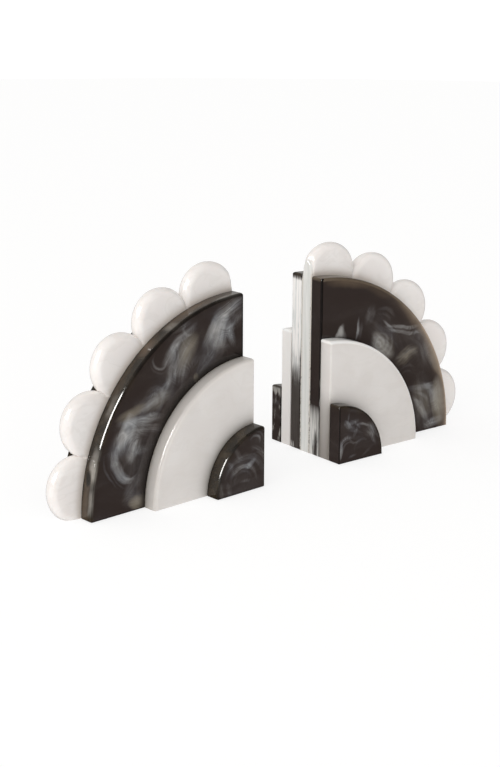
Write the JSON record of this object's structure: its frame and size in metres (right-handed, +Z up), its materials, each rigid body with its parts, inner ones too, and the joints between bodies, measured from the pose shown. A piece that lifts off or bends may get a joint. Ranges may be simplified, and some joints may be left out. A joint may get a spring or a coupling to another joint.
{
  "type": "book ends",
  "caption": "Pair of free-standing quarter-round book ends, layered glossy resin slabs in marbled smoke and pearl white with a scalloped pillow-edged core; flat upright book faces.",
  "frame": {"origin": "centre of the pair's footprint box, on the shelf surface under the pads", "axes": "+X along the shelf from the left book end to the right one, square to the left book face; +Y away from the room, across the slabs; +Z up"},
  "size_m": [0.4396, 0.0948, 0.1781],
  "materials": {
    "smoke_resin": "polished, marbled smoke grey and warm black cast resin",
    "pearl_resin": "polished, pearl white cast resin with faint veins",
    "bond_adhesive": "clear cured resin adhesive",
    "pad_urethane": "clear satin polyurethane bumper"
  },
  "bodies": {
    "left_bookend": {"left_scallop_core": "pearl_resin", "left_front_large_arch": "smoke_resin", "left_front_medium_arch": "pearl_resin", "left_front_small_arch": "smoke_resin", "left_rear_large_arch": "smoke_resin", "left_rear_medium_arch": "pearl_resin", "left_rear_small_arch": "smoke_resin", "left_bond_films": "bond_adhesive", "left_foot_pads": "pad_urethane"},
    "right_bookend": {"right_scallop_core": "pearl_resin", "right_front_large_arch": "smoke_resin", "right_front_medium_arch": "pearl_resin", "right_front_small_arch": "smoke_resin", "right_rear_large_arch": "smoke_resin", "right_rear_medium_arch": "pearl_resin", "right_rear_small_arch": "smoke_resin", "right_bond_films": "bond_adhesive", "right_foot_pads": "pad_urethane"}
  },
  "joints": [
    {"name": "shelf_slide", "type": "slide", "parent": "left_bookend", "child": "right_bookend", "axis": [1, 0, 0], "range_m": [-0.075, 0.3]}
  ]
}
